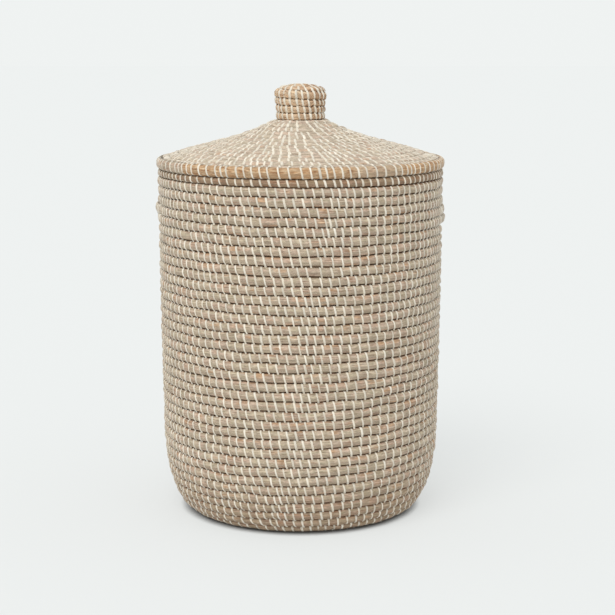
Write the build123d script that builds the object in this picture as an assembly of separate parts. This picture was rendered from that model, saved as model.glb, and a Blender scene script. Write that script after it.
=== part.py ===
from build123d import *
import os
from math import sqrt

# Coiled grass laundry basket with a lift-off lid, in millimetres.
# Origin: centre of the base, on the floor.  +Z up, front faces -Y, a handle on each side.
# Every coil is one continuous bundle in the real thing.  Here its turns are rings, and each
# stretch of it with a job of its own (base, heel, wall, rim) is a separate solid.

os.makedirs("parts", exist_ok=True)

# ---- driving dimensions ------------------------------------------------------------------
body_height = 460.3           # floor to the top of the rim
rim_flattening = 2.3          # the rim row is this much lower than a full row
rim_radius = 190.0            # outside, over the crests of the rows
heel_top_radius = 186.0       # outside, where the wall starts to turn in
heel_top_height = 112.0
foot_radius = 142.0           # where the heel meets the flat base
wall_bulge = 0.8              # how far the wall swells out between the rim and the heel
coil_depth = 12.0             # wall thickness over the crests
groove_depth = 2.4            # how far the groove between two rows cuts in

rim_rows = 1
upper_wall_rows = 3           # from the rim down to the grips
grip_rows = 2                 # rows that bow out and make the grips
slot_rows = 2                 # rows that stop at the finger slots
lower_wall_rows = 21
heel_rows = 10
base_rows = 9
base_start_rows = 2           # the knot that the whole coil starts from
row_count = (
    rim_rows + upper_wall_rows + grip_rows + slot_rows + lower_wall_rows
    + heel_rows + base_rows + base_start_rows
)

lid_gap = 0.3                 # lid to rim
lid_edge_thickness = 15.0     # the thick last row of the lid
lid_edge_radius = 191.5       # outside of the lid
lid_joint_overlap = 2.0       # how far the cone reaches into the edge bundle before trimming
lid_joint_step = 2.4          # the cone starts this much above the middle of the edge bundle
lid_cone_rise = 47.5          # rise of the lid's coil from its last row to the knob's seat
lid_cone_sag = 9.5            # drop of the curve's upper guide point, which hollows the cone
lid_row_count = 14

locating_ring_thickness = 13.0
locating_ring_play = 2.0      # radial play inside the rim
locating_ring_drop = 5.3      # how far it hangs below the top of the rim

knob_seat_margin = 1.6        # level ring of the lid outside the knob's foot
knob_foot_radius = 32.4
knob_head_radius = 34.6
knob_row_pitch = 9.3
knob_row_depth = 9.5
knob_rows = 4
knob_dome_height = 10.0
knob_shoulder_radius = 28.5   # where the rounded shoulder meets the flatter crown
knob_shoulder_bulge = 0.9
knob_crown_drop = 4.2
knob_groove_depth = 1.4

handle_turn = 7.0             # degrees from the X axis towards the back to a handle's middle
grip_bow = 6.0                # how far the grip stands out of the wall
grip_half_length = 45.0
wrap_length = 12.0            # bound end of the grip, on each side of the slot
wrap_thickness = 0.8

# ---- derived dimensions ------------------------------------------------------------------
half_depth = coil_depth / 2
lid_edge_half = lid_edge_thickness / 2
lid_edge_height = body_height + lid_gap + lid_edge_half
lid_line_radius = lid_edge_radius - lid_edge_thickness + lid_joint_overlap
lid_line_height = lid_edge_height + lid_joint_step
knob_seat_radius = knob_foot_radius + knob_seat_margin
knob_seat_height = lid_line_height + lid_cone_rise + half_depth
knob_head_height = knob_seat_height + knob_rows * knob_row_pitch
grip_reach = grip_half_length + wrap_length
rows_above_grip = rim_rows + upper_wall_rows
rows_above_slot = rows_above_grip + grip_rows
rows_above_lower_wall = rows_above_slot + slot_rows
rows_above_heel = rows_above_lower_wall + lower_wall_rows
rows_above_base = rows_above_heel + heel_rows


# ---- coil lines: the middle of each bundle's wall, in the XZ plane ------------------------
def basket_line():
    """From the top of a full rim row down the wall, round the heel and in to the base's centre."""
    top = Vector(rim_radius - half_depth, 0, body_height + rim_flattening)
    shoulder = Vector(heel_top_radius - half_depth, 0, heel_top_height)
    foot = Vector(foot_radius, 0, half_depth)
    centre = Vector(0, 0, half_depth)
    belly = (top + shoulder) / 2 + Vector(wall_bulge, 0, 0)
    heel_plane = Plane((foot.X, 0, shoulder.Z), x_dir=(1, 0, 0), z_dir=(0, 1, 0))
    heel = Edge.make_ellipse(shoulder.X - foot.X, shoulder.Z - foot.Z, heel_plane, 0, 90)
    wall = Edge.make_three_point_arc(top, belly, shoulder)
    return Wire([wall, heel, Edge.make_line(foot, centre)])


def lid_line():
    """From the last thin row of the lid up the hollow cone, then level under the knob."""
    start = Vector(lid_line_radius, 0, lid_line_height)
    seat = Vector(knob_seat_radius, 0, lid_line_height + lid_cone_rise)
    centre = Vector(0, 0, seat.Z)
    lower_guide = start + (seat - start) / 3
    upper_guide = start + (seat - start) * 2 / 3 - Vector(0, 0, lid_cone_sag)
    cone = Edge.make_bezier(start, lower_guide, upper_guide, seat)
    return Wire([cone, Edge.make_line(seat, centre)])


def side_point(line, length, offset):
    """The point at a length along a coil line, offset to its left (-) or right (+) side."""
    position = line.position_at(length / line.length)
    tangent = line.tangent_at(length / line.length)
    across = Vector(-tangent.Z, 0, tangent.X)
    return position + across * offset


def ribbed_side(line, pitch, first_row, rows):
    """The outside of a stretch of coil: one arc per row, meeting in grooves."""
    groove_offset = half_depth - groove_depth
    arcs = []
    for row in range(first_row, first_row + rows):
        start = side_point(line, row * pitch, groove_offset)
        crest = side_point(line, (row + 0.5) * pitch, half_depth)
        end = side_point(line, (row + 1) * pitch, groove_offset)
        arcs.append(Edge.make_three_point_arc(start, crest, end))
    return arcs


def smooth_side(line, pitch, first_row, rows, offset):
    """A plain side of a stretch of coil, bent at the row boundaries only."""
    points = [side_point(line, row * pitch, offset) for row in range(first_row, first_row + rows + 1)]
    return [Edge.make_line(a, b) for a, b in zip(points, points[1:])]


def coil_rings(line, pitch, first_row, rows, ribbed=True):
    """A stretch of coil: its section between two row boundaries, turned round the Z axis."""
    inner = smooth_side(line, pitch, first_row, rows, -half_depth)
    if ribbed:
        outer = ribbed_side(line, pitch, first_row, rows)
    else:
        outer = smooth_side(line, pitch, first_row, rows, half_depth)
    start = Edge.make_line(outer[0] @ 0, inner[0] @ 0)
    end = Edge.make_line(outer[-1] @ 1, inner[-1] @ 1)
    return revolve(Face(Wire([*outer, end, *inner, start])), Axis.Z)


def ring(radius, height, thickness):
    """A round bundle closed into a ring."""
    return Pos(0, 0, height) * Torus(radius, thickness / 2)


# ---- basket -------------------------------------------------------------------------------
def rim_coil(line, pitch):
    """The last row of the basket, flattened and rounded on top."""
    high = rim_flattening + groove_depth
    low_outer = side_point(line, pitch, half_depth - groove_depth)
    low_inner = side_point(line, pitch, groove_depth - half_depth)
    high_outer = side_point(line, high, half_depth - groove_depth)
    high_inner = side_point(line, high, groove_depth - half_depth)
    middle = (pitch + high) / 2
    section = [
        Edge.make_three_point_arc(low_outer, side_point(line, middle, half_depth), high_outer),
        Edge.make_three_point_arc(high_outer, side_point(line, rim_flattening, 0), high_inner),
        Edge.make_three_point_arc(high_inner, side_point(line, middle, -half_depth), low_inner),
        Edge.make_line(low_inner, low_outer),
    ]
    return revolve(Face(Wire(section)), Axis.Z)


def disc(radius, low, high):
    """A plain round disc between two heights."""
    return Pos(0, 0, (low + high) / 2) * Cylinder(radius, high - low)


def row_height(line, pitch, row):
    """Height of the groove under a row; rows are counted from the rim."""
    return side_point(line, row * pitch, 0).Z


def handle_side(side):
    """Turns a shape at the X axis to the right handle's middle (side 1) or the left one's (-1)."""
    return Rot(0, 0, handle_turn if side > 0 else 180 - handle_turn)


def grip_shape(line, pitch, side, thickness_extra):
    """The bowed pair of rows on one side of the basket, longer than the grip itself."""
    top = row_height(line, pitch, rows_above_grip)
    bottom = row_height(line, pitch, rows_above_slot)
    wall_radius = side_point(line, (rows_above_grip + grip_rows / 2) * pitch, 0).X
    wall_sagitta = wall_radius - sqrt(wall_radius**2 - grip_reach**2)
    grip_sagitta = wall_sagitta + grip_bow
    bend_radius = (grip_reach**2 + grip_sagitta**2) / (2 * grip_sagitta)
    bend_centre = wall_radius + grip_bow - bend_radius
    row_size = (top - bottom) / grip_rows
    valley = half_depth - groove_depth + thickness_extra
    crest = half_depth + thickness_extra
    edges = []
    for face in (1, -1):
        for row in range(grip_rows):
            low = bottom + row * row_size
            edges.append(
                Edge.make_three_point_arc(
                    (bend_radius + face * valley, 0, low),
                    (bend_radius + face * crest, 0, low + row_size / 2),
                    (bend_radius + face * valley, 0, low + row_size),
                )
            )
    for level in (bottom, top):
        edges.append(
            Edge.make_line((bend_radius - valley, 0, level), (bend_radius + valley, 0, level))
        )
    bow = revolve(Face(Wire(edges)), Axis.Z)
    return handle_side(side) * Pos(bend_centre, 0, 0) * bow


def side_block(side, front, back, low, high):
    """A box through the wall at a handle. front and back are measured backwards from its middle."""
    reach = 80.0
    centre = (rim_radius, side * (front + back) / 2, (low + high) / 2)
    return handle_side(side) * Pos(*centre) * Box(reach, back - front, high - low)


def grip_band_coil(line, pitch):
    """The rows at the height of the grips, with a finger slot and a grip's seat on each side."""
    wall = coil_rings(line, pitch, rows_above_grip, grip_rows + slot_rows)
    grip_top = row_height(line, pitch, rows_above_grip)
    grip_bottom = row_height(line, pitch, rows_above_slot)
    slot_bottom = row_height(line, pitch, rows_above_lower_wall)
    for side in (1, -1):
        wall -= side_block(side, -grip_reach, grip_reach, grip_bottom, grip_top)
        wall -= side_block(side, -grip_half_length, grip_half_length, slot_bottom, grip_bottom)
    return wall


def grip_piece(line, pitch, side, front, back, thickness_extra):
    """A length of the bowed rows, between two planes across the grip."""
    shape = grip_shape(line, pitch, side, thickness_extra)
    return shape & side_block(side, front, back, 0, body_height)


# ---- lid ----------------------------------------------------------------------------------
def lid_edge_coil():
    """The thick bundle round the edge of the lid, which rests on the rim."""
    return ring(lid_edge_radius - lid_edge_half, lid_edge_height, lid_edge_thickness)


def lid_coil(line, pitch):
    """The cone of the lid, ending against the edge bundle."""
    return coil_rings(line, pitch, 0, lid_row_count - 1) - lid_edge_coil()


def lid_locating_ring(lid):
    """The bundle sewn under the lid, which drops inside the rim."""
    outside = rim_radius - coil_depth - locating_ring_play
    half = locating_ring_thickness / 2
    height = body_height - locating_ring_drop + half
    return ring(outside - half, height, locating_ring_thickness) - lid


def knob_coil():
    """The rows of the knob, one above the other, a little wider towards the top."""
    outer = []
    for row in range(knob_rows):
        swell = (row / (knob_rows - 1)) ** 2
        crest = knob_foot_radius + (knob_head_radius - knob_foot_radius) * swell
        low = knob_seat_height + row * knob_row_pitch
        valley = crest - knob_groove_depth
        outer.append((low, valley, crest))
    inner_radius = knob_foot_radius - knob_row_depth
    edges = []
    point = Vector(outer[0][1], 0, outer[0][0])
    for low, valley, crest in outer:
        if abs(point.X - valley) > 1e-6:
            step = Vector(valley, 0, low)
            edges.append(Edge.make_line(point, step))
            point = step
        end = Vector(valley, 0, low + knob_row_pitch)
        middle = Vector(crest, 0, low + knob_row_pitch / 2)
        edges.append(Edge.make_three_point_arc(point, middle, end))
        point = end
    top_inner = Vector(inner_radius, 0, knob_head_height)
    low_inner = Vector(inner_radius, 0, knob_seat_height)
    start = Vector(outer[0][1], 0, outer[0][0])
    edges.append(Edge.make_line(point, top_inner))
    edges.append(Edge.make_line(top_inner, low_inner))
    edges.append(Edge.make_line(low_inner, start))
    return revolve(Face(Wire(edges)), Axis.Z)


def knob_top_coil():
    """The last turns of the knob, closing it with a low dome."""
    apex = Vector(0, 0, knob_head_height + knob_dome_height)
    crown_radius = (knob_shoulder_radius**2 + knob_crown_drop**2) / (2 * knob_crown_drop)
    half_way = knob_shoulder_radius / 2
    half_way_drop = crown_radius - sqrt(crown_radius**2 - half_way**2)
    rim = Vector(knob_head_radius - knob_groove_depth, 0, knob_head_height)
    shoulder = Vector(knob_shoulder_radius, 0, apex.Z - knob_crown_drop)
    bulge = (rim + shoulder) / 2 + Vector(knob_shoulder_bulge, 0, knob_shoulder_bulge)
    crown = Vector(half_way, 0, apex.Z - half_way_drop)
    centre = Vector(0, 0, knob_head_height)
    section = [
        Edge.make_three_point_arc(rim, bulge, shoulder),
        Edge.make_three_point_arc(shoulder, crown, apex),
        Edge.make_line(apex, centre),
        Edge.make_line(centre, rim),
    ]
    return revolve(Face(Wire(section)), Axis.Z)


# ---- all nodes ----------------------------------------------------------------------------
def basket_nodes():
    line = basket_line()
    pitch = line.length / row_count
    nodes = {
        "rim_coil": rim_coil(line, pitch),
        "upper_wall_coil": coil_rings(line, pitch, rim_rows, upper_wall_rows),
        "grip_band_coil": grip_band_coil(line, pitch),
        "lower_wall_coil": coil_rings(line, pitch, rows_above_lower_wall, lower_wall_rows),
        "heel_coil": coil_rings(line, pitch, rows_above_heel, heel_rows),
        "base_coil": coil_rings(line, pitch, rows_above_base, base_rows, ribbed=False),
        "base_start_coil": disc(pitch * base_start_rows, 0, coil_depth),
    }
    for name, side in (("right", 1), ("left", -1)):
        nodes[f"{name}_handle"] = grip_piece(
            line, pitch, side, -grip_half_length, grip_half_length, 0
        )
        nodes[f"{name}_handle_front_wrap"] = grip_piece(
            line, pitch, side, -grip_reach, -grip_half_length, wrap_thickness
        )
        nodes[f"{name}_handle_back_wrap"] = grip_piece(
            line, pitch, side, grip_half_length, grip_reach, wrap_thickness
        )
    return nodes


def lid_nodes():
    line = lid_line()
    pitch = line.length / lid_row_count
    cone = lid_coil(line, pitch)
    lid_start_bottom = knob_seat_height - coil_depth
    return {
        "lid_edge_coil": lid_edge_coil(),
        "lid_coil": cone,
        "lid_start_coil": disc(pitch, lid_start_bottom, knob_seat_height),
        "lid_locating_ring": lid_locating_ring(cone),
        "knob_coil": knob_coil(),
        "knob_core": disc(knob_foot_radius - knob_row_depth, knob_seat_height, knob_head_height),
        "knob_top_coil": knob_top_coil(),
    }


for node, solid in {**basket_nodes(), **lid_nodes()}.items():
    solid.label = node
    export_step(solid, f"parts/{node}.step")
    box = solid.bounding_box()
    print(f"{node:26s} z {box.min.Z:7.2f} {box.max.Z:7.2f}  x {box.min.X:8.2f} {box.max.X:8.2f}"
          f"  volume {solid.volume:10.0f}")
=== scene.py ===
"""Looks of the coiled grass laundry basket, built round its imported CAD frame.

Every coil is laid out in three coordinates and only then bent into shape:
  azimuth  the angle round the basket, 0 at the front and growing towards the right
  s        the distance along the coil line, from the first row's edge to the last row's centre
  n        the distance out of the coil line's middle, positive on the visible side
"""

import math

import bpy
import numpy as np
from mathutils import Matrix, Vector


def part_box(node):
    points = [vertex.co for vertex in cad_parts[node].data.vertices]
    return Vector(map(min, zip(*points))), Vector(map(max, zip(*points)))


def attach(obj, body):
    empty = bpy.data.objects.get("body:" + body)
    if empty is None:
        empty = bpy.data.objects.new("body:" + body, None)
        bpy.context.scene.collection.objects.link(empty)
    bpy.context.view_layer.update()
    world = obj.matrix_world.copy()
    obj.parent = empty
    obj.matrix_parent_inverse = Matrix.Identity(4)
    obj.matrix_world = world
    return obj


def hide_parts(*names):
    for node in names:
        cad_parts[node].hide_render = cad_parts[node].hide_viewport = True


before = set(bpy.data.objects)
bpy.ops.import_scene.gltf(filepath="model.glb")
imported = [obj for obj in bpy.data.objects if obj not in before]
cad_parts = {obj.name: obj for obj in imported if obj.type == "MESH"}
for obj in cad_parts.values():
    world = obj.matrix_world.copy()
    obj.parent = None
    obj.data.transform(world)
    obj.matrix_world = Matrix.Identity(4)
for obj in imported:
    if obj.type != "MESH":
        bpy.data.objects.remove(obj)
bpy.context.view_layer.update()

MM = 0.001
TURN = 2 * math.pi
BASKET, LID = "basket", "lid"


# ---- sizes, read from the frame or set here in metres --------------------------------------
def low(node, axis):
    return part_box(node)[0][axis]


def high(node, axis):
    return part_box(node)[1][axis]


def half_way(node, axis):
    return (high(node, axis) + low(node, axis)) / 2


# The basket's coil. A row is PITCH high and DEPTH thick, the same in the wall and the base. The
# heel's curve starts a little above the CAD's heel and ends a little outside its base.
PITCH = high("base_start_coil", 0) / 2
DEPTH = high("base_coil", 2)
RIM_TOP = high("rim_coil", 2)
RIM_RADIUS = high("rim_coil", 0)
HEEL_RADIUS = high("heel_coil", 0)
LINE_TOP = low("rim_coil", 2) + PITCH
WALL_BULGE = 0.8 * MM
HEEL_TALLER = 1.04
FOOT_WIDER = 1.054
WALL_RADIUS = RIM_RADIUS - DEPTH / 2

# Rows are counted from the rim, which is row 0, down to the middle of the base.
ROWS_ABOVE_GRIP = 4
GRIP_ROWS = 2
SLOT_ROWS = 2
HEEL_FIRST_ROW = 29
BASE_FIRST_ROW = 39
ROWS = 50

# The grips. Their middles lie a little behind the basket's sides, and GRIP_BOWS is how far the
# upper and the lower row of each one stand out of the wall.
GRIP_HALF = (high("right_handle", 1) - low("right_handle", 1)) / 2
GRIP_REACH = (high("right_handle_back_wrap", 1) - low("right_handle_front_wrap", 1)) / 2
HANDLE_AZIMUTH = math.pi / 2 + math.asin(half_way("right_handle", 1) / WALL_RADIUS)
RIGHT, LEFT = 1, -1
GRIP_BOWS = {RIGHT: (4.4 * MM, 6.0 * MM), LEFT: (6.0 * MM, 2.5 * MM)}
GRIP_PULLED_DOWN = 3 * MM
SLOT_END_ROUNDING = 3 * MM
BINDING_STITCHES = 3
BINDING_SPACING = 2.9 * MM
WRAP_STITCHES = 4

# The lid's cone, from its edge up to its seat under the knob.
LID_ROWS = 16
LID_EDGE_THICKNESS = high("lid_edge_coil", 2) - low("lid_edge_coil", 2)
LID_EDGE_HEIGHT = half_way("lid_edge_coil", 2)
LID_EDGE_RADIUS = high("lid_edge_coil", 0) - LID_EDGE_THICKNESS / 2
LID_EDGE_BUNDLE = 14.5 * MM
LID_LINE_RADIUS = LID_EDGE_RADIUS - LID_EDGE_THICKNESS / 2 + 2.0 * MM
LID_LINE_HEIGHT = LID_EDGE_HEIGHT + 2.4 * MM
LID_SEAT_HEIGHT = high("lid_coil", 2) - DEPTH / 2
LID_SEAT_RADIUS = 34 * MM
LID_SWELL = 2.0 * MM
LID_SAG = 10.5 * MM
LID_LAP = 7.5 * MM

# The ring under the lid that keeps it on the rim.
LOCATING_THICKNESS = 13 * MM
LOCATING_RADIUS = high("lid_locating_ring", 0) - LOCATING_THICKNESS / 2
LOCATING_HEIGHT = low("lid_locating_ring", 2) + LOCATING_THICKNESS / 2
LOCATING_STITCHES = 80

# The knob: four rows up its side, the last one rounding over into the domed top.
KNOB_SIDE_ROWS = 4
KNOB_BOTTOM = low("knob_coil", 2)
KNOB_TOP = high("knob_top_coil", 2)
KNOB_HEAD_RADIUS = high("knob_coil", 0)
KNOB_FOOT_RADIUS = KNOB_HEAD_RADIUS - 2.2 * MM
KNOB_PITCH = (high("knob_coil", 2) - low("knob_coil", 2)) / KNOB_SIDE_ROWS
KNOB_DEPTH = 9.5 * MM
KNOB_SHOULDER = KNOB_BOTTOM + 3.7 * KNOB_PITCH

# A winding climbs one row in a turn. This share of a row, added on the right and taken away on
# the left, levels a row across the front.
LEVELLING = 0.245


# ---- coil lines ---------------------------------------------------------------------------
class CoilLine:
    """The middle of a coiled wall in the plane of radius and height, given by its points.

    side is 1 where n points left of the way the line runs, and -1 where it points right. The
    line runs on straight for REACH past both ends, where rows that stray find their places.
    """

    REACH = 20 * MM
    LEAST_RADIUS = 2 * MM

    def __init__(self, points, side):
        points = np.array(points)
        ahead = points[0] - points[1]
        behind = points[-1] - points[-2]
        first = points[0] + ahead / np.linalg.norm(ahead) * self.REACH
        last = points[-1] + behind / np.linalg.norm(behind) * self.REACH
        points = np.vstack([first, points, last])
        steps = np.linalg.norm(np.diff(points, axis=0), axis=1)
        self.at = np.concatenate([[0.0], np.cumsum(steps)]) - self.REACH
        self.length = self.at[-1] - self.REACH
        self.points = points
        tangent = np.gradient(points, self.at, axis=0)
        tangent /= np.linalg.norm(tangent, axis=1)[:, None]
        self.normal = side * np.stack([-tangent[:, 1], tangent[:, 0]], axis=1)

    def place(self, s, n):
        """Radius and height of the point at s and n."""
        radius, height = (np.interp(s, self.at, self.points[:, i]) for i in (0, 1))
        out, up = (np.interp(s, self.at, self.normal[:, i]) for i in (0, 1))
        return radius + n * out, height + n * up

    def radius(self, s):
        """How far the line is from the axis at s, never quite nothing."""
        return np.maximum(np.interp(s, self.at, self.points[:, 0]), self.LEAST_RADIUS)


STRAIGHT_STEPS = 40


def straight(start, end):
    """Points from start towards end, without the end itself."""
    start, end = np.array(start), np.array(end)
    return [tuple(start + (end - start) * i / STRAIGHT_STEPS) for i in range(STRAIGHT_STEPS)]


def quarter_ellipse(centre, width, height, steps=90):
    """From an ellipse's outermost point towards the point above or below its centre."""
    angles = [math.pi / 2 * i / steps for i in range(steps)]
    return [(centre[0] + width * math.cos(a), centre[1] + height * math.sin(a)) for a in angles]


def basket_line():
    """From the rim down the slightly bulging wall, round the heel and in along the base."""
    top = (WALL_RADIUS, LINE_TOP)
    shoulder = (HEEL_RADIUS - DEPTH / 2, high("heel_coil", 2) * HEEL_TALLER)
    foot = (high("base_coil", 0) * FOOT_WIDER, DEPTH / 2)
    wall = []
    for i, (radius, height) in enumerate(straight(top, shoulder)):
        u = i / STRAIGHT_STEPS
        wall.append((radius + WALL_BULGE * 4 * u * (1 - u), height))
    heel = quarter_ellipse((foot[0], shoulder[1]), shoulder[0] - foot[0], foot[1] - shoulder[1])
    return CoilLine(wall + heel + straight(foot, (0, foot[1])) + [(0, foot[1])], 1)


def lid_line(steps=60):
    """From under the lid's edge up the cone, which swells a little low down and sags high up."""
    start = np.array([LID_LINE_RADIUS, LID_LINE_HEIGHT])
    seat = np.array([LID_SEAT_RADIUS, LID_SEAT_HEIGHT])
    cone = []
    for i in range(steps):
        u = i / steps
        hollow = 3 * u * (1 - u) * (LID_SAG * u - LID_SWELL * (1 - u))
        cone.append(tuple(start + (seat - start) * u - np.array([0, hollow])))
    slope = np.array(cone[1]) - np.array(cone[0])
    cone.insert(0, tuple(start - slope / np.linalg.norm(slope) * LID_LAP))
    return CoilLine(cone + straight(seat, (0, seat[1])) + [(0, seat[1])], -1)


def knob_line(steps=30):
    """From the knob's foot up its flaring side and over its domed top to the middle."""
    foot = KNOB_FOOT_RADIUS - KNOB_DEPTH / 2
    head = KNOB_HEAD_RADIUS - KNOB_DEPTH / 2
    crown = KNOB_TOP - KNOB_DEPTH / 2
    side = []
    for i in range(steps):
        u = i / steps
        side.append((foot + (head - foot) * u**2, KNOB_BOTTOM + (KNOB_SHOULDER - KNOB_BOTTOM) * u))
    dome = quarter_ellipse((0, KNOB_SHOULDER), head, crown - KNOB_SHOULDER)
    return CoilLine(side + dome + [(0, crown)], -1)


# ---- hand-made unevenness -----------------------------------------------------------------
class Unevenness:
    """A smooth random field over azimuth and s, made of a few waves, about 1 in size.

    around and along give the ranges of the waves' counts per turn and of their radians per metre.
    """

    def __init__(self, seed, waves=14, around=(2, 26), along=(20, 150)):
        rng = np.random.default_rng(seed)
        self.around = rng.integers(around[0], around[1], waves)
        self.along = rng.uniform(along[0], along[1], waves) * rng.choice([-1, 1], waves)
        self.phase = rng.uniform(0, TURN, waves)
        self.size = rng.uniform(0.5, 1.0, waves)
        self.size /= math.sqrt((self.size**2).sum() / 2)

    def __call__(self, azimuth, s):
        total = np.zeros(np.broadcast(azimuth, s).shape)
        for around, along, phase, size in zip(self.around, self.along, self.phase, self.size):
            total += size * np.sin(around * azimuth + along * s + phase)
        return total


def smooth_step(x):
    """0 up to x = 0, 1 from x = 1 and a smooth rise between them."""
    x = np.clip(x, 0, 1)
    return x * x * (3 - 2 * x)


# ---- coils --------------------------------------------------------------------------------
EVENING = np.array([1, 2, 3, 4, 3, 2, 1]) / 16
START_JITTER = 0.04
ROW_JITTER = 0.03
RING_JITTER = 0.05
HAND_DRIFT = 0.34 * MM
HAND_BULGE = 0.35 * MM
PINCH_REACH = 2.0 * MM
FLOOR_GAP = 0.2 * MM
MOST_STITCHES = 9000


class Coil:
    """A bundle wound in rows along a coil line. t counts turns from the outer or upper end."""

    groove_shade = 1.0

    def __init__(self, line, pitch, depth, sway, seed, level_start=0.0, squareness=0.9):
        self.line = line
        self.pitch = pitch
        self.depth = depth
        self.sway = sway
        self.level_start = level_start
        self.squareness = squareness
        self.plump = np.random.default_rng(seed + 2).uniform(0, 1, MOST_STITCHES)
        self.lift = Unevenness(seed)
        self.bulge = Unevenness(seed + 1, around=(3, 40), along=(60, 420))
        self.stitch_turns = np.array([])
        self.stitch_held = np.array([])

    def tints(self, azimuth, s):
        """How brown and how tan the grass is, at each place or everywhere; the brown is partly the
        grass's own colour and partly painted shade.
        """
        return 0.0, 0.0

    def azimuth(self, t):
        return math.pi - TURN * t

    def local_sag(self, azimuth, s):
        """How far rows hang down along s in one place."""
        return 0.0

    def drift(self, azimuth, s):
        """How far rows stray along s: the slow sway of the winding and the maker's hand."""
        away = smooth_step(s / (2 * self.pitch)) * smooth_step((self.line.length - s) / (3 * self.pitch))
        by_hand = HAND_DRIFT * self.lift(azimuth, s) + self.local_sag(azimuth, s)
        return self.sway(s) * np.sin(azimuth) + by_hand * away

    def place(self, azimuth, s, n):
        """Points in space. Rows keep touching because all of them move with one field."""
        calm = smooth_step((self.line.length - s) / (4 * self.pitch))
        moved = s + self.drift(azimuth, s)
        radius, height = self.line.place(moved, n + HAND_BULGE * self.bulge(azimuth, s) * calm)
        height = np.maximum(height, FLOOR_GAP)
        return np.stack([radius * np.sin(azimuth), -radius * np.cos(azimuth), height], axis=-1)

    def row(self, t):
        """Middle and half-height along s of the row at t, cut off at both ends of the line."""
        upper = self.pitch * (t - 0.5)
        lower = self.pitch * (t + 0.5)
        upper = np.maximum(upper, self.level_start - self.drift(self.azimuth(t), np.zeros_like(t)))
        lower = np.minimum(lower, self.line.length)
        return (upper + lower) / 2, np.maximum((lower - upper) / 2, 0.1 * MM)

    def girth_radius(self, t):
        """How far the row at t is from the axis."""
        return self.line.radius(self.row(t)[0])

    def half_depth(self, half):
        """Half the depth of the bundle where it is this high; it tapers only when very low."""
        return self.depth / 2 * np.sqrt(np.clip(half / (0.4 * self.pitch), 0.02, 1))

    def turns_every(self, start, end, step):
        """Values of t from start to end, about step apart along the bundle."""
        fine = np.linspace(start, end, max(8, int(abs(end - start) * 360)))
        travel = np.concatenate([[0.0], np.cumsum(np.diff(fine) * TURN * self.girth_radius(fine[:-1]))])
        count = max(4, int(travel[-1] / step))
        return np.interp(np.linspace(0, travel[-1], count), travel, fine)

    def stitch_phase(self, t):
        """How many stitches come before t, with the part of the way to the next one."""
        return np.interp(t, self.stitch_turns, np.arange(len(self.stitch_turns)))

    def pinch(self, t):
        """1 under a stitch that is there, fading to nothing away from it."""
        phase = self.stitch_phase(t)
        nearest = np.clip(np.round(phase).astype(int), 0, len(self.stitch_turns) - 1)
        away = np.abs(t - self.stitch_turns[nearest]) * TURN * self.girth_radius(t)
        return np.exp(-((away / PINCH_REACH) ** 2)) * self.stitch_held[nearest]

    def sew(self, start, end, spacing, drift, seed, evening=0.8, dropped=0.004, bare=()):
        """Sets the stitches from t = end, where the work began, back to t = start.

        Each stitch follows the one beside it in the row before, so columns form, and drift is how
        far it strays sideways from that one. evening is how much the gaps level out in a row.
        bare lists a row and degrees of azimuth for each stitch left out on purpose, and dropped
        is the share left out by chance.
        """
        rng = np.random.default_rng(seed)

        def step_at(t):
            return spacing(t * self.pitch) / (TURN * self.girth_radius(t))

        turns = [end]
        while turns[-1] > end - 1:
            step = float(step_at(np.array(turns[-1])))
            turns.append(turns[-1] - step * (1 + rng.normal(0, START_JITTER)))
        rows = [np.array(turns)]
        debt = 0.0
        while rows[-1][-1] > start:
            last = rows[-1][-1]
            above = rows[-1][rows[-1] < last + 1] - 1
            above -= drift / (TURN * self.girth_radius(above))
            steps = step_at(above)
            free = above < last - 0.35 * steps
            gaps, debt = self.share_gaps(-np.diff(np.append(last, above[free])), steps[free], debt)
            even = np.convolve(np.pad(gaps, len(EVENING) // 2, mode="edge"), EVENING, mode="valid")
            gaps = gaps + evening * (even - gaps)
            gaps *= 1 + rng.normal(0, ROW_JITTER, len(gaps))
            rows.append(last - np.cumsum(gaps))
        turns = np.concatenate(rows)
        self.stitch_turns = np.sort(turns)
        self.stitch_held = (rng.random(len(turns)) > dropped).astype(float)
        for row, azimuth in bare:
            near = np.argmin(np.abs(self.stitch_turns - (row - azimuth / 360)))
            self.stitch_held[near] = 0

    @staticmethod
    def share_gaps(gaps, steps, debt):
        """Squeezes one more stitch into a gap wherever the rows have grown a stitch too long.

        debt is by how many stitches the gaps so far are longer than the maker's own steps.
        """
        shared = []
        for gap, step in zip(gaps, steps):
            debt = max(debt + gap / step - 1, -1.0)
            shares = 2 if debt > 1 else 1
            debt -= shares - 1
            shared += [gap / shares] * shares
        return np.array(shared), debt

    def stitches(self, start, end):
        """The turns from start to end that have a stitch."""
        inside = (self.stitch_turns >= start) & (self.stitch_turns < end) & (self.stitch_held > 0)
        return self.stitch_turns[inside]


class RingCoil(Coil):
    """A bundle closed into one level ring. t goes once round."""

    groove_shade = 0.66

    def __init__(self, radius, height, thickness, seed):
        half = thickness / 2
        line = CoilLine(straight((radius, height + half), (radius, height - half)), 1)
        super().__init__(line, pitch=thickness, depth=thickness, sway=None, seed=seed)

    def row(self, t):
        t = np.asarray(t, dtype=float)
        return np.full(t.shape, self.pitch / 2), np.full(t.shape, self.pitch / 2)

    def drift(self, azimuth, s):
        return 0.0

    def sew_evenly(self, count, seed):
        """Sets this many stitches, with a little unevenness between them."""
        rng = np.random.default_rng(seed)
        self.stitch_turns = (np.arange(count) + rng.normal(0, RING_JITTER, count)) / count
        self.stitch_held = np.ones(count)


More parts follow.
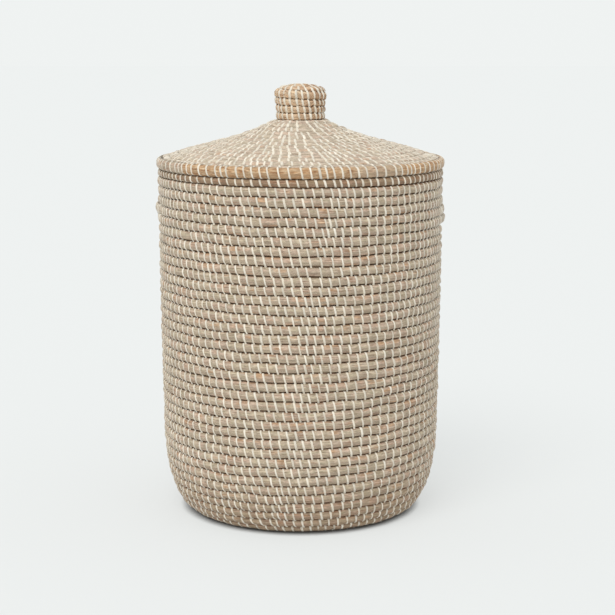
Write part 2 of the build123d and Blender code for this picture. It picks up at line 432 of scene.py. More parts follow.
# ---- meshes -------------------------------------------------------------------------------
def grid_quads(rings, points, closed=False):
    """Quads of a tube of rings, each of the same number of points, with caps unless it is closed."""
    ring = np.arange(rings if closed else rings - 1)[:, None]
    point = np.arange(points)[None, :]
    near, far = ring * points, ((ring + 1) % rings) * points
    following = (point + 1) % points
    sides = np.stack([near + point, near + following, far + following, far + point], axis=-1)
    quads = [sides.reshape(-1, 4)]
    if not closed:
        half = points // 2
        pair = np.arange(half - 1)
        cap = np.stack([pair, points - 1 - pair, points - 2 - pair, pair + 1], axis=-1)
        quads += [cap, cap[:, ::-1] + (rings - 1) * points]
    return np.vstack(quads)


def volume(points, quads):
    """Six times the volume inside, negative where the quads face inwards."""
    a, b, c, d = (points[quads[:, i]] for i in range(4))
    return float((np.cross(b - a, c - a) * a).sum() + (np.cross(c - a, d - a) * a).sum())


def mesh_object(name, points, quads, attributes, material):
    """One smooth-shaded object from arrays; attributes are stored per point."""
    if volume(points, quads) < 0:
        quads = quads[:, ::-1]
    mesh = bpy.data.meshes.new(name)
    mesh.vertices.add(len(points))
    mesh.vertices.foreach_set("co", points.astype(np.float32).ravel())
    mesh.loops.add(quads.size)
    mesh.loops.foreach_set("vertex_index", quads.astype(np.int32).ravel())
    mesh.polygons.add(len(quads))
    mesh.polygons.foreach_set("loop_start", np.arange(0, quads.size, 4, dtype=np.int32))
    mesh.polygons.foreach_set("use_smooth", np.ones(len(quads), dtype=bool))
    mesh.update(calc_edges=True)
    mesh.validate()
    for key, values in attributes.items():
        kind, field = ("FLOAT", "value") if values.ndim == 1 else ("FLOAT_VECTOR", "vector")
        layer = mesh.attributes.new(key, kind, "POINT")
        layer.data.foreach_set(field, values.astype(np.float32).ravel())
    mesh.materials.append(material)
    piece = bpy.data.objects.new(name, mesh)
    bpy.context.collection.objects.link(piece)
    return piece


SECTION_POINTS = 20
SECTION_FLATNESS = 0.62
BUNDLE_STEP = 2.0 * MM
STRANDS = 7
STRAND_TWIST = 55
END_TIP = 0.12
ROW_CONTACT = 0.995


def section(angles, squareness=0.9):
    """A squarish oval: its out and up coordinates at each angle, from -1 to 1."""
    out = np.sign(np.cos(angles)) * np.abs(np.cos(angles)) ** squareness
    up = np.sign(np.sin(angles)) * np.abs(np.sin(angles)) ** SECTION_FLATNESS
    return out, up


def rounded_ends(travel, lengths):
    """How full the bundle is along its travel, when it rounds off over a length at each end."""
    full = np.ones_like(travel)
    for length, away in zip(lengths, (travel, travel[-1] - travel)):
        if length:
            full *= np.sqrt(np.clip(1 - (1 - np.clip(away / length, 0, 1)) ** 2, END_TIP, 1))
    return full


def bundle(coil, start, end, bow=None, rounded=(0, 0)):
    """The grass bundle from start to end: points, quads and the attributes its material reads."""
    closed = isinstance(coil, RingCoil)
    t = coil.turns_every(start, end, BUNDLE_STEP)
    if closed:
        t = t[:-1]
    travel = np.cumsum(np.concatenate([[0.0], np.diff(t) * TURN * coil.girth_radius(t[:-1])]))
    middle, half = coil.row(t)
    ends = rounded_ends(travel, rounded)
    angles = np.linspace(0, TURN, SECTION_POINTS, endpoint=False)
    out, up = section(angles, coil.squareness)
    pinch = coil.pinch(t)
    plump = np.interp(coil.stitch_phase(t), np.arange(len(coil.plump)), coil.plump)
    swell = (1.01 - 0.10 * pinch + 0.03 * plump) * ends * coil.half_depth(half)
    half = half * (0.96 + 0.04 * plump - 0.03 * pinch)
    strand = np.abs(np.sin(angles[None, :] * STRANDS / 2 + travel[:, None] * STRAND_TWIST)) ** 0.7
    n = out[None, :] * swell[:, None] * (0.965 + 0.05 * strand)
    s = middle[:, None] - up[None, :] * (half * ends)[:, None] * ROW_CONTACT
    azimuth = np.broadcast_to(coil.azimuth(t)[:, None], n.shape)
    if bow is not None:
        n = n + bow(azimuth)
    points = coil.place(azimuth, s, n)
    along = np.broadcast_to(travel[:, None] + start * 7.3, n.shape)
    around = np.broadcast_to(angles[None, :] * coil.depth / 2, n.shape)
    phase = np.broadcast_to(coil.stitch_phase(t)[:, None], n.shape)
    # The brown tint carries the grass's own brown and painted shade.
    brown_and_shade, tan = (np.broadcast_to(tint, n.shape) for tint in coil.tints(azimuth, s))
    # Painted shade towards a row's top and bottom, where the next row lies against it; a free edge gets
    # none.
    covered = smooth_step((s - coil.level_start) / (0.4 * coil.pitch))
    attributes = {
        "fibre": np.stack([along, around, phase], axis=-1).reshape(-1, 3),
        "painted_groove_shade": (np.abs(up)[None, :] * coil.groove_shade * covered).reshape(-1),
        "brown_and_shade": brown_and_shade.reshape(-1),
        "tan": tan.reshape(-1),
    }
    return points.reshape(-1, 3), grid_quads(len(t), SECTION_POINTS, closed), attributes


STRIP_WIDTH = 3.25 * MM
STRIP_WIDTHS = (0.82, 1.15)
STRIP_ASKEW = 0.25 * MM
STRIP_LOOSE = 0.08 * MM
STRIP_ACROSS = np.array([-0.5, -0.27, 0.27, 0.5])
STRIP_CROWN = np.array([-0.35, 0.32, 0.32, -0.35]) * MM


def ribbons(coil, turns, paths, width, seed, bow=None, closed=False):
    """Flat strips sewn at the given turns. paths gives each strip's sideways, s and n places."""
    rng = np.random.default_rng(seed)
    count, steps = len(turns), paths.shape[-2]
    points_across = len(STRIP_ACROSS)
    middle, _ = coil.row(turns)
    sideways = paths[..., 0] + rng.normal(0, STRIP_ASKEW, (count, 1))
    s = middle[:, None] + paths[..., 1]
    n = paths[..., 2] + rng.normal(0, STRIP_LOOSE, (count, 1))
    widths = width * rng.uniform(*STRIP_WIDTHS, (count, 1))
    taper = strip_taper(steps, closed)[None, :, None]
    lean = sideways[..., None] + widths[..., None] * STRIP_ACROSS * taper
    azimuth = coil.azimuth(turns)[:, None, None] + lean / coil.line.radius(middle)[:, None, None]
    n = n[..., None] + np.sign(n)[..., None] * STRIP_CROWN
    s = np.broadcast_to(s[..., None], n.shape)
    if bow is not None:
        n = n + bow(azimuth)
    points = coil.place(azimuth, s, n)
    one = grid_quads(steps, points_across, closed)
    quads = (one[None] + (np.arange(count) * steps * points_across)[:, None, None]).reshape(-1, 4)
    shape = (count, steps, points_across)
    along = np.linspace(0, 0.02, steps)
    identity = rng.uniform(0, 100, (count, 1, 1))
    fibre = [along[None, :, None], STRIP_ACROSS * width, identity]
    # Painted shade towards an open strip's ends, where they go into the grooves between rows.
    tucked_end_shade = np.abs(np.linspace(-1, 1, steps)) ** 3 * (0 if closed else 1)
    attributes = {
        "fibre": np.stack([np.broadcast_to(part, shape) for part in fibre], axis=-1).reshape(-1, 3),
        "painted_groove_shade": np.broadcast_to(tucked_end_shade[None, :, None], shape).reshape(-1),
    }
    return points.reshape(-1, 3), quads, attributes


def strip_taper(steps, closed):
    """How wide a strip is along its length: narrower at both ends, where it has any."""
    if closed:
        return np.ones(steps)
    u = np.linspace(-1, 1, steps)
    return 1 - 0.22 * u**4


# A stitch leans by this many millimetres on its way over half a row.
STITCH_LEAN = 1.35
SIDE_ANGLES = np.radians([80, 63, 42, 18, -12, -38, -60])
SIDE_LIFTS = np.array([-0.5, 0.0, 0.1, 0.15, 0.15, 0.2, 0.45]) * MM
SUNK_IN = 0.93


def side_stitch(coil, turns, inward=False, lean=STITCH_LEAN):
    """A stitch over one side of a row: out of the groove above, over it, into the row below."""
    middle, half = coil.row(turns)
    depth = coil.half_depth(half)
    out, up = section(SIDE_ANGLES, coil.squareness)
    n = out[None, :] * depth[:, None] * SUNK_IN + SIDE_LIFTS * np.cos(SIDE_ANGLES) + 0.1 * MM
    s = -up[None, :] * half[:, None] - SIDE_LIFTS * np.sin(SIDE_ANGLES)
    n = np.concatenate([n, np.stack([0.62 * depth, 0.60 * depth], axis=1)], axis=1)
    s = np.concatenate([s, np.stack([1.10 * half, 1.30 * half], axis=1)], axis=1)
    sideways = (s / half[:, None]) * lean * MM * (-1 if inward else 1)
    return np.stack([sideways, s, -n if inward else n], axis=-1)


def round_stitch(coil, turns, angles, lean):
    """A stitch that lies on both sides of a row, at the given angles of its section."""
    middle, half = coil.row(turns)
    out, up = section(angles)
    depth = coil.half_depth(half) * SUNK_IN + 0.3 * MM
    n = out[None, :] * depth[:, None]
    s = -up[None, :] * (half[:, None] + 0.25 * MM)
    sideways = s / half[:, None] * lean * MM * np.sign(out)[None, :]
    return np.stack([sideways, s, n + 1e-6], axis=-1)


def loop_stitch(coil, turns, lean=STITCH_LEAN):
    """A stitch all the way round a row."""
    return round_stitch(coil, turns, np.linspace(0, TURN, 18, endpoint=False), lean)


def over_top_stitch(coil, turns):
    """A stitch over both sides and the free top of a row, into the row below on each side."""
    return round_stitch(coil, turns, np.radians(np.linspace(-75, 255, 15)), STITCH_LEAN)


def joined(parts):
    """Several (points, quads, attributes) as one."""
    points, quads, attributes = [], [], {}
    start = 0
    for part_points, part_quads, part_attributes in parts:
        points.append(part_points)
        quads.append(part_quads + start)
        start += len(part_points)
        for key, values in part_attributes.items():
            attributes.setdefault(key, []).append(values)
    return np.vstack(points), np.vstack(quads), {k: np.concatenate(v) for k, v in attributes.items()}


def add_piece(name, parts, material, body, nodes=()):
    """One piece of the model, riding on its body; nodes are the CAD nodes it stands for."""
    points, quads, attributes = joined(parts)
    piece = mesh_object(name, points, quads, attributes, material)
    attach(piece, body)
    if nodes:
        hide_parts(*nodes)


# ---- materials ----------------------------------------------------------------------------
class Shader:
    """One material and the nodes that are added to it. Inputs are sockets or constant values."""

    def __init__(self, name):
        self.material = bpy.data.materials.new(name)
        self.material.use_nodes = True
        self.tree = self.material.node_tree
        self.surface = self.tree.nodes["Principled BSDF"]

    def add(self, kind, inputs=(), **settings):
        node = self.tree.nodes.new(kind)
        for key, value in settings.items():
            setattr(node, key, value)
        for key, value in dict(inputs).items():
            self.set(node.inputs[key], value)
        return node

    def set(self, socket, value):
        if isinstance(value, bpy.types.NodeSocket):
            self.tree.links.new(value, socket)
        else:
            socket.default_value = value

    def math(self, operation, a, b=0.0):
        return self.add("ShaderNodeMath", {0: a, 1: b}, operation=operation).outputs[0]

    def attribute(self, name):
        return self.add("ShaderNodeAttribute", attribute_name=name)

    def noise(self, vector, detail):
        inputs = {"Vector": vector, "Scale": 1.0, "Detail": detail, "Roughness": 0.55}
        return self.add("ShaderNodeTexNoise", inputs).outputs["Fac"]

    def vector(self, x, y, z=0.0):
        return self.add("ShaderNodeCombineXYZ", {0: x, 1: y, 2: z}).outputs[0]

    def ramp(self, factor, stops):
        node = self.add("ShaderNodeValToRGB", {"Fac": factor})
        elements = node.color_ramp.elements
        while len(elements) < len(stops):
            elements.new(0.5)
        for element, (position, colour) in zip(elements, stops):
            element.position = position
            element.color = coloured(colour)
        return node.outputs["Color"]

    def remap(self, value, low_in, high_in, low_out, high_out):
        inputs = {"Value": value, 1: low_in, 2: high_in, 3: low_out, 4: high_out}
        return self.add("ShaderNodeMapRange", inputs).outputs["Result"]

    def mix(self, factor, a, b, blend="MIX"):
        node = self.add("ShaderNodeMix", data_type="RGBA", blend_type=blend)
        self.set(node.inputs["Factor"], factor)
        self.set(node.inputs["A"], a)
        self.set(node.inputs["B"], b)
        return node.outputs["Result"]

    def darken(self, colour, light):
        """The colour times a grey of this light, which may also be over 1."""
        return self.mix(1.0, colour, self.vector(light, light, light), "MULTIPLY")

    def streaks(self, along, across, lengthwise, crosswise, detail, seed=0.0):
        """Noise drawn out along the grass, with so many cells per metre each way."""
        stretched = self.vector(
            self.math("MULTIPLY", along, lengthwise), self.math("MULTIPLY", across, crosswise), seed
        )
        return self.noise(stretched, detail)

    def chance(self, number):
        """A random value from 0 to 1 that belongs to this number."""
        return self.add("ShaderNodeTexWhiteNoise", {"W": number}, noise_dimensions="1D").outputs["Value"]

    def bump(self, height, strength, distance):
        inputs = {"Strength": strength, "Distance": distance, "Height": height}
        return self.add("ShaderNodeBump", inputs).outputs["Normal"]

    def finish(self, colour, roughness, normal, specular):
        """Sets the surface and gives back the material."""
        self.set(self.surface.inputs["Base Color"], colour)
        self.set(self.surface.inputs["Roughness"], roughness)
        self.set(self.surface.inputs["Normal"], normal)
        self.surface.inputs["Specular IOR Level"].default_value = specular
        return self.material


def rgb(red, green, blue):
    """Screen colour, 0 to 255, as linear light."""
    return tuple((c / 255) ** 2.2 for c in (red, green, blue))


def coloured(colour):
    return (*colour, 1.0)


# Where each colour stands on its noise, which stays between about 0.3 and 0.7.
BEIGE_BLADES = [
    (0.28, rgb(136, 112, 86)),
    (0.42, rgb(178, 156, 130)),
    (0.50, rgb(196, 177, 153)),
    (0.58, rgb(192, 165, 140)),
    (0.70, rgb(218, 203, 178)),
]
STRETCH_TINTS = [
    (0.31, rgb(188, 140, 100)),
    (0.40, rgb(194, 164, 148)),
    (0.47, rgb(198, 180, 164)),
    (0.54, rgb(178, 170, 144)),
    (0.62, rgb(206, 192, 174)),
    (0.70, rgb(188, 150, 116)),
]
TAN_BLADES = [
    (0.30, rgb(150, 108, 74)),
    (0.44, rgb(190, 150, 112)),
    (0.54, rgb(204, 170, 134)),
    (0.68, rgb(222, 198, 164)),
]
STRIP_STREAKS = [
    (0.30, rgb(200, 187, 165)),
    (0.50, rgb(225, 216, 200)),
    (0.72, rgb(240, 236, 226)),
]
PALE_GRASS = rgb(222, 212, 200)
# Multiplied in for brown grass, and for painted shade on the rim row, the heel and the knob's right
# side.
BROWN_AND_SHADE_TINT = (0.56, 0.43, 0.33)
# Painted shade in the grooves between rows, also the colour of the dark splits between blades.
GROOVE_SHADE_AND_SPLIT_TINT = rgb(112, 74, 44)
# Painted shade on stitch ends that go into the grooves.
STRIP_SHADE = rgb(150, 122, 90)


def blade_colour(shader, streaks, blades, patch, pale):
    """The grass's colour: blades, longer stretches of tint, tan and brown places, the brown partly
    painted shade.
    """
    colour = shader.ramp(blades, BEIGE_BLADES)
    stretch = shader.math("MULTIPLY", streaks(30, 150, 2.0, 7.0), 0.86)
    hue = shader.math("ADD", stretch, shader.math("MULTIPLY", patch(0.1), 0.14))
    colour = shader.mix(0.5, colour, shader.ramp(hue, STRETCH_TINTS))
    tan = shader.attribute("tan").outputs["Fac"]
    colour = shader.mix(tan, colour, shader.ramp(blades, TAN_BLADES))
    # Brown grass and painted shade, where the brown attribute says.
    brown_and_shade = shader.attribute("brown_and_shade").outputs["Fac"]
    browned_and_shaded = shader.mix(1.0, colour, coloured(BROWN_AND_SHADE_TINT), "MULTIPLY")
    colour = shader.mix(brown_and_shade, colour, browned_and_shaded)
    return shader.mix(pale, colour, coloured(PALE_GRASS))


def blade_light(shader, streaks, fine, patch, light):
    """How light the grass is: between two stitches, along fine fibres and in speckles."""
    light = shader.remap(patch(0.37), 0, 1, 0.90 * light, 1.02 * light)
    light = shader.math("MULTIPLY", light, shader.remap(fine, 0.25, 0.75, 0.80, 1.18))
    speckle = streaks(200, 620, 2.0, 13.0)
    return shader.math("MULTIPLY", light, shader.remap(speckle, 0.3, 0.7, 0.72, 1.2))


def grass_material(name, light=1.0, pale=0.0):
    """Dry grass blades lying along the bundle: tinted blades, dark splits, fine fibres and painted shade
    in the grooves between rows. A light over 1 lightens it all over as painted light.
    """
    shader = Shader(name)
    fibre = shader.attribute("fibre").outputs["Vector"]
    along, around, phase = shader.add("ShaderNodeSeparateXYZ", {0: fibre}).outputs

    def streaks(lengthwise, crosswise, detail, seed=0.0):
        return shader.streaks(along, around, lengthwise, crosswise, detail, seed)

    def patch(seed):
        """A random value for each stretch between two stitches."""
        return shader.chance(shader.math("ADD", shader.math("FLOOR", phase), seed))

    blades = streaks(90, 600, 2.0)
    fine = streaks(70, 2600, 3.0)
    colour = blade_colour(shader, streaks, blades, patch, pale)
    colour = shader.darken(colour, blade_light(shader, streaks, fine, patch, light))
    # Dark splits between blades, the grass's own marks.
    split = shader.remap(streaks(30, 1150, 1.0, 4.0), 0.32, 0.42, 1.0, 0.0)
    colour = shader.mix(shader.math("MULTIPLY", split, 0.5), colour, coloured(GROOVE_SHADE_AND_SPLIT_TINT))
    # Painted shade in the grooves between rows, with a ragged edge.
    painted_groove_shade = shader.attribute("painted_groove_shade").outputs["Fac"]
    ragged_groove_shade = shader.math("ADD", painted_groove_shade, shader.remap(streaks(60, 200, 2.0, 9.0), 0.3, 0.7, -0.07, 0.07))
    colour = shader.mix(shader.remap(ragged_groove_shade, 0.76, 0.99, 0.0, 0.85), colour, coloured(GROOVE_SHADE_AND_SPLIT_TINT))
    height = shader.math("SUBTRACT", fine, shader.math("MULTIPLY", split, 0.8))
    height = shader.math("ADD", height, shader.math("MULTIPLY", blades, 0.8))
    roughness = shader.remap(fine, 0.3, 0.7, 0.62, 0.86)
    return shader.finish(colour, roughness, shader.bump(height, 0.8, 0.5 * MM), 0.3)


def strip_material():
    """Pale flat strip, streaked lengthwise, each stitch a little lighter or darker, with painted shade
    on its ends where they go into the grooves.
    """
    shader = Shader("wrap strip")
    fibre = shader.attribute("fibre").outputs["Vector"]
    along, across, identity = shader.add("ShaderNodeSeparateXYZ", {0: fibre}).outputs
    streak = shader.streaks(along, across, 60, 2400, 2.0, identity)
    colour = shader.ramp(streak, STRIP_STREAKS)
    colour = shader.darken(colour, shader.remap(shader.chance(identity), 0, 1, 0.82, 1.06))
    # Painted shade on the ends that go into the grooves.
    tucked_end_shade = shader.remap(shader.attribute("painted_groove_shade").outputs["Fac"], 0.35, 1.0, 0.0, 0.75)
    colour = shader.mix(tucked_end_shade, colour, coloured(STRIP_SHADE))
    roughness = shader.remap(streak, 0.3, 0.7, 0.5, 0.7)
    return shader.finish(colour, roughness, shader.bump(streak, 0.5, 0.2 * MM), 0.35)


def materials():
    """The record's three looks, and two lighter copies of the grass for the lid and the knob, their
    lightness partly paler grass and partly painted light.
    """
    return {
        "grass_coil": grass_material("dry grass"),
        "tan_grass_coil": grass_material("tan grass"),
        # Painted light: a light over 1 lightens the lid's and the knob's grass all over.
        "lid_grass": grass_material("lid grass", light=1.06, pale=0.22),
        "knob_grass": grass_material("knob grass", light=1.22, pale=0.04),
        "wrap_strip": strip_material(),
    }


# ---- the basket ---------------------------------------------------------------------------
def basket_sway(s):
    """Rows lie level under the rim and climb to the right lower down, until the base."""
    rows = np.array([0, 18, 33, BASE_FIRST_ROW])
    climb = np.array([0.28, 0.19, -0.19, 0.0])
    return np.interp(s, rows * PITCH, climb * PITCH)


def basket_spacing(s):
    """The maker's stitch spacing, widest low on the wall."""
    return np.interp(s, [0, 0.15, 0.40, 0.48], [10.8 * MM, 11.0 * MM, 11.8 * MM, 11.4 * MM])


def grip_sag(azimuth, s):
    """The right grip has been pulled down a little."""
    across = 2 * np.sin((azimuth - HANDLE_AZIMUTH) / 2) / 0.42
    down = (s - (ROWS_ABOVE_GRIP + 1.5) * PITCH) / (2.4 * PITCH)
    return GRIP_PULLED_DOWN * np.exp(-(across**2) - down**2)


def basket_tints(azimuth, s):
    """The rim row is reddish brown, partly its own colour and partly painted shadow under the lid;
    painted shade darkens the grass round the heel.
    """
    rim = 0.75 * (s < 1.02 * PITCH)
    heel = 0.55 * smooth_step((s - 30 * PITCH) / (7 * PITCH))
    return rim + heel, 0.0


def make_basket_coil():
    coil = Coil(basket_line(), PITCH, DEPTH, basket_sway, seed=11, level_start=LINE_TOP - RIM_TOP)
    coil.sew(-0.2, ROWS - 0.4, basket_spacing, 1.0 * MM, seed=5, bare=[(4.5, -12), (34.5, 32)])
    coil.tints = basket_tints
    coil.local_sag = grip_sag
    return coil


def side_turns(row, side, half_width):
    """Where the coil passes one handle's middle in a row: the t values half_width each way."""
    centre = row + (math.pi - side * HANDLE_AZIMUTH) / TURN
    half = math.asin(half_width / WALL_RADIUS) / TURN
    return centre - half, centre + half


def grip_bow(side, row):
    """A function of azimuth: how far a grip's row stands out, rising smoothly from its ends."""
    half = math.asin(GRIP_REACH / WALL_RADIUS)
    size = GRIP_BOWS[side][row]

    def bow(azimuth):
        away = np.abs(np.sin((azimuth - side * HANDLE_AZIMUTH) / 2))
        reach = np.clip(2 * np.arcsin(away) / half, 0, 1)
        return size * np.cos(math.pi / 2 * reach) ** 2

    return bow


def band_runs(first, last, gaps):
    """The stretches of t between first and last that the gaps leave."""
    edges = [first] + [edge for gap in sorted(gaps) for edge in gap] + [last]
    return list(zip(edges[::2], edges[1::2]))


def both_sides(coil, turns, seeds, bow=None):
    """Stitches outside and inside a row."""
    return [
        ribbons(coil, turns, side_stitch(coil, turns), STRIP_WIDTH, seeds[0], bow),
        ribbons(coil, turns, side_stitch(coil, turns, inward=True), STRIP_WIDTH, seeds[1], bow),
    ]


def row_band(coil, name, first, last, material, nodes):
    """A plain band of rows with its stitches, outside and inside."""
    add_piece(name, [bundle(coil, first, last)], material["grass_coil"], BASKET, nodes)
    sewn = both_sides(coil, coil.stitches(first, last), (31, 32))
    add_piece(f"{name}_stitches", sewn, material["wrap_strip"], BASKET)


def rim_row(coil, material):
    """The first row, which runs out to nothing along the level rim, with its stitches."""
    parts = [bundle(coil, -0.2, 1.0)]
    add_piece("rim_row", parts, material["grass_coil"], BASKET, ["rim_coil"])
    turns = coil.stitches(-0.1, 1.0)
    sewn = [ribbons(coil, turns, over_top_stitch(coil, turns), STRIP_WIDTH, 33)]
    add_piece("rim_row_stitches", sewn, material["wrap_strip"], BASKET)


def slot_bindings(coil, gaps):
    """A few close loops round each end of the rows that the finger slots cut."""
    spread = BINDING_SPACING / (TURN * RIM_RADIUS)
    turns = []
    for low_t, high_t in gaps:
        turns += [low_t - spread * (i + 0.6) for i in range(BINDING_STITCHES)]
        turns += [high_t + spread * (i + 0.6) for i in range(BINDING_STITCHES)]
    turns = np.array(turns)
    return ribbons(coil, turns, loop_stitch(coil, turns, 0.2), STRIP_WIDTH * 1.1, 36, closed=True)


def grip_band(coil, material):
    """The rows with the grips and the finger slots."""
    first = ROWS_ABOVE_GRIP
    slots = first + GRIP_ROWS
    last = slots + SLOT_ROWS
    grips = [side_turns(row, side, GRIP_REACH) for row in range(first, slots) for side in (RIGHT, LEFT)]
    gaps = [side_turns(row, side, GRIP_HALF) for row in range(slots, last) for side in (RIGHT, LEFT)]
    parts = [bundle(coil, a, b) for a, b in band_runs(first, slots, grips)]
    cut = band_runs(slots, last, gaps)
    for index, (a, b) in enumerate(cut):
        before = SLOT_END_ROUNDING if index else 0
        after = SLOT_END_ROUNDING if index < len(cut) - 1 else 0
        parts.append(bundle(coil, a, b, rounded=(before, after)))
    add_piece("grip_band", parts, material["grass_coil"], BASKET, ["grip_band_coil"])
    turns = np.concatenate([coil.stitches(a, b) for a, b in band_runs(first, last, grips + gaps)])
    sewn = both_sides(coil, turns, (34, 35)) + [slot_bindings(coil, gaps)]
    add_piece("grip_band_stitches", sewn, material["wrap_strip"], BASKET)


def grip_ends(side, outer, inner):
    """The stretches of t at a grip's front and back ends, between its wraps' two edges."""
    early, late = (outer[0], inner[0]), (inner[1], outer[1])
    if side == RIGHT:
        return {"front": late, "back": early}
    return {"front": early, "back": late}


def end_wrap(coil, start, end, bow):
    """Dense loops round a grip's row from start to end."""
    turns = start + (end - start) * (np.arange(WRAP_STITCHES) + 0.5) / WRAP_STITCHES
    return ribbons(coil, turns, loop_stitch(coil, turns, 0.3), STRIP_WIDTH * 1.12, 40, bow, closed=True)


def grip(coil, name, side, material):
    """One grip: two bowed rows, sewn to each other, with densely wrapped ends."""
    grass = []
    sewn = []
    tied = {"front": [], "back": []}
    for index in range(GRIP_ROWS):
        bow = grip_bow(side, index)
        outer = side_turns(ROWS_ABOVE_GRIP + index, side, GRIP_REACH)
        inner = side_turns(ROWS_ABOVE_GRIP + index, side, GRIP_HALF)
        grass.append(bundle(coil, *outer, bow=bow))
        turns = coil.stitches(*inner)
        if index < GRIP_ROWS - 1:
            sewn += both_sides(coil, turns, (37, 38), bow)
        else:
            path = loop_stitch(coil, turns)
            sewn.append(ribbons(coil, turns, path, STRIP_WIDTH, 39, bow, closed=True))
        for end, (start, stop) in grip_ends(side, outer, inner).items():
            tied[end].append(end_wrap(coil, start, stop, bow))
    nodes = [f"{name}_handle"]
    add_piece(f"{name}_handle_grip", grass, material["grass_coil"], BASKET, nodes)
    add_piece(f"{name}_handle_stitches", sewn, material["wrap_strip"], BASKET)
    for end, wraps in tied.items():
        nodes = [f"{name}_handle_{end}_wrap"]
        piece = f"{name}_handle_{end}_binding"
        add_piece(piece, wraps, material["wrap_strip"], BASKET, nodes)


def make_basket(material):
    """The basket from the rim down, in bands that match the CAD's."""
    coil = make_basket_coil()
    rim_row(coil, material)
    row_band(coil, "upper_wall_rows", 1, ROWS_ABOVE_GRIP, material, ["upper_wall_coil"])
    grip_band(coil, material)
    grip(coil, "right", RIGHT, material)
    grip(coil, "left", LEFT, material)
    lower = ROWS_ABOVE_GRIP + GRIP_ROWS + SLOT_ROWS
    edges = np.linspace(lower, HEEL_FIRST_ROW, 4).round().astype(int)
    for label, first, last in zip(("high", "middle", "low"), edges, edges[1:]):
        row_band(coil, f"lower_wall_rows_{label}", first, last, material, ["lower_wall_coil"])
    heel_middle = (HEEL_FIRST_ROW + BASE_FIRST_ROW) // 2
    row_band(coil, "heel_rows_upper", HEEL_FIRST_ROW, heel_middle, material, ["heel_coil"])
    row_band(coil, "heel_rows_lower", heel_middle, BASE_FIRST_ROW, material, ["heel_coil"])
    middle_nodes = ["base_coil", "base_start_coil"]
    row_band(coil, "base_rows", BASE_FIRST_ROW, ROWS + 0.2, material, middle_nodes)


# ---- the lid ------------------------------------------------------------------------------
def lid_tints(azimuth, s):
    """The cone is a trace tanner than the wall."""
    return 0.0, 0.04


def edge_tints(azimuth, s):
    """The edge is tan over the front and beige to its left, with more such changes behind."""
    angle = np.degrees((azimuth + math.pi) % TURN - math.pi)
    front = smooth_step((angle + 52) / 2) * smooth_step((100 - angle) / 2)
    back = smooth_step((angle - 150) / 2) + smooth_step((-110 - angle) / 2)
    paler = 0.6 * smooth_step((angle - 18) / 6) * smooth_step((44 - angle) / 3)
    return 0.1, front * (1 - paler) + 0.8 * np.clip(back, 0, 1)


def knob_tints(azimuth, s):
    """The knob is tanner all over, and painted shade browns its right side, away from the lamp."""
    brown_and_shade = 0.8 * smooth_step((np.sin(azimuth) + 0.3) / 1.3)
    return brown_and_shade, 0.6


def levelling_sway(pitch, rows):
    """A sway that levels the first row and is gone after so many rows."""

    def sway(s):
        return np.interp(s, [0, rows * pitch], [LEVELLING * pitch, 0])

    return sway


def make_lid_cone(material):
    """The cone's rows and stitches. Gives back where its first row is sewn."""
    line = lid_line()
    pitch = line.length / LID_ROWS

    def spacing(s):
        return np.interp(s, [0, 0.11], [10.6 * MM, 9.6 * MM])

    coil = Coil(line, pitch, DEPTH, levelling_sway(pitch, 5), seed=21, squareness=0.5)
    coil.groove_shade = 0.8
    coil.tints = lid_tints
    coil.sew(-0.2, LID_ROWS - 0.4, spacing, 2.0 * MM, seed=6, evening=0.2)
    grass = [bundle(coil, -0.2, LID_ROWS + 0.2)]
    nodes = ["lid_coil", "lid_start_coil"]
    add_piece("lid_rows", grass, material["lid_grass"], LID, nodes)
    turns = coil.stitches(0.1, LID_ROWS)
    sewn = [
        ribbons(coil, turns, side_stitch(coil, turns, lean=-1.0), STRIP_WIDTH * 1.25, 51),
        ribbons(coil, turns, side_stitch(coil, turns, inward=True, lean=-0.45), STRIP_WIDTH, 52),
    ]
    add_piece("lid_rows_stitches", sewn, material["wrap_strip"], LID)
    return coil.stitches(0.02, 1.0)


def make_ring(name, coil, material, slot, node, seed):
    """A ring of the lid and the loops sewn round it."""
    add_piece(name, [bundle(coil, 0, 1)], material[slot], LID, [node])
    turns = coil.stitches(-1, 2)
    sewn = [ribbons(coil, turns, loop_stitch(coil, turns, 1.6), STRIP_WIDTH, seed, closed=True)]
    add_piece(f"{name}_stitches", sewn, material["wrap_strip"], LID)


def make_knob(material):
    """The knob's rows and stitches, in one winding from its foot to the top."""
    line = knob_line()
    rows = line.length / KNOB_PITCH
    sway = levelling_sway(KNOB_PITCH, 3)
    coil = Coil(line, KNOB_PITCH, KNOB_DEPTH, sway, seed=61, squareness=0.75)
    coil.groove_shade = 0.9
    coil.tints = knob_tints
    coil.sew(-0.1, rows - 0.4, lambda s: 8.0 * MM, 1.2 * MM, seed=7, dropped=0)
    grass = [bundle(coil, -0.2, rows + 0.2)]
    nodes = ["knob_coil", "knob_core", "knob_top_coil"]
    add_piece("knob_rows", grass, material["knob_grass"], LID, nodes)
    turns = coil.stitches(0.0, rows)
    sewn = [ribbons(coil, turns, side_stitch(coil, turns, lean=-0.8), STRIP_WIDTH, 62)]
    add_piece("knob_rows_stitches", sewn, material["wrap_strip"], LID)


def make_lid_edge(material, stitch_turns):
    """The edge bundle, a little thinner than the CAD's ring and set low and far out in it."""
    inset = (LID_EDGE_THICKNESS - LID_EDGE_BUNDLE) / 2
    edge = RingCoil(LID_EDGE_RADIUS + inset, LID_EDGE_HEIGHT - inset, LID_EDGE_BUNDLE, seed=41)
    edge.tints = edge_tints
    edge.squareness = 0.72
    edge.stitch_turns = stitch_turns
    edge.stitch_held = np.ones(len(stitch_turns))
    make_ring("lid_edge", edge, material, "tan_grass_coil", "lid_edge_coil", 42)


def make_locating_ring(material):
    locating = RingCoil(LOCATING_RADIUS, LOCATING_HEIGHT, LOCATING_THICKNESS, seed=43)
    locating.sew_evenly(LOCATING_STITCHES, 44)
    make_ring("lid_locating_rows", locating, material, "grass_coil", "lid_locating_ring", 44)


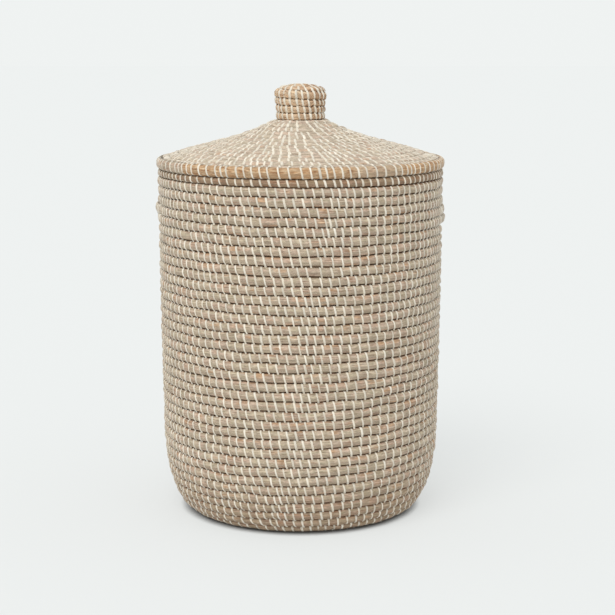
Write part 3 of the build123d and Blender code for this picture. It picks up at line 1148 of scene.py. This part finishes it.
def make_lid(material):
    first_row_turns = make_lid_cone(material)
    make_lid_edge(material, first_row_turns)
    make_locating_ring(material)
    make_knob(material)


# ---- floor, light and camera --------------------------------------------------------------
BACKGROUND = rgb(239, 242, 241)
FLOOR_HALF = 30.0
FLOOR_COLOUR = (0.70, 0.71, 0.715)
FLOOR_MATT = 0.4
CONTACT_REACH = 14 * MM
SUN_STRENGTH = 1.42
SUN_COLOUR = (1.0, 0.985, 0.96)
SUN_SPREAD = math.radians(40)
SUN_TURN = (math.radians(40), 0, math.radians(-22))
CAMERA_PLACE = (0.0094, -2.138, 0.6366)
CAMERA_DOWN = math.radians(9.73)
CAMERA_LENS = 93.6
CAMERA_SENSOR = 36.0


def floor_material():
    """Part matt, part glowing like the background. The glow fades where the basket stands near, a
    painted contact shadow.
    """
    shader = Shader("pale floor")
    inputs = shader.surface.inputs
    inputs["Base Color"].default_value = coloured([FLOOR_MATT * c for c in FLOOR_COLOUR])
    inputs["Emission Color"].default_value = coloured(BACKGROUND)
    contact = shader.add("ShaderNodeAmbientOcclusion", {"Distance": CONTACT_REACH}, samples=8)
    glow = shader.remap(contact.outputs["AO"], 0.15, 0.7, 0.0, 1 - FLOOR_MATT)
    shader.set(inputs["Emission Strength"], glow)
    inputs["Roughness"].default_value = 1.0
    inputs["Specular IOR Level"].default_value = 0.0
    return shader.material


def add_floor():
    """A wide pale floor."""
    mesh = bpy.data.meshes.new("floor")
    corners = [(x * FLOOR_HALF, y * FLOOR_HALF, 0) for x, y in ((-1, -1), (1, -1), (1, 1), (-1, 1))]
    mesh.from_pydata(corners, [], [(0, 1, 2, 3)])
    floor = bpy.data.objects.new("floor", mesh)
    bpy.context.collection.objects.link(floor)
    mesh.materials.append(floor_material())


def add_light():
    """A bright even room and one soft sun from the left, in front and above."""
    world = bpy.data.worlds.new("pale studio")
    world.use_nodes = True
    backdrop = world.node_tree.nodes["Background"].inputs
    backdrop["Color"].default_value = coloured(BACKGROUND)
    backdrop["Strength"].default_value = 1.0
    bpy.context.scene.world = world
    key = bpy.data.lights.new("key", "SUN")
    key.energy = SUN_STRENGTH
    key.angle = SUN_SPREAD
    key.color = SUN_COLOUR
    lamp = bpy.data.objects.new("key", key)
    lamp.rotation_euler = SUN_TURN
    bpy.context.collection.objects.link(lamp)


def add_camera():
    """In front of the basket and a little above it, looking slightly down."""
    camera = bpy.data.cameras.new("camera")
    camera.lens = CAMERA_LENS
    camera.sensor_width = CAMERA_SENSOR
    eye = bpy.data.objects.new("camera", camera)
    eye.location = CAMERA_PLACE
    eye.rotation_euler = (math.pi / 2 - CAMERA_DOWN, 0, 0)
    bpy.context.collection.objects.link(eye)
    bpy.context.scene.camera = eye


def main():
    bpy.context.scene.view_settings.view_transform = "Standard"
    material = materials()
    make_basket(material)
    make_lid(material)
    add_floor()
    add_light()
    add_camera()


main()
bpy.context.view_layer.update()
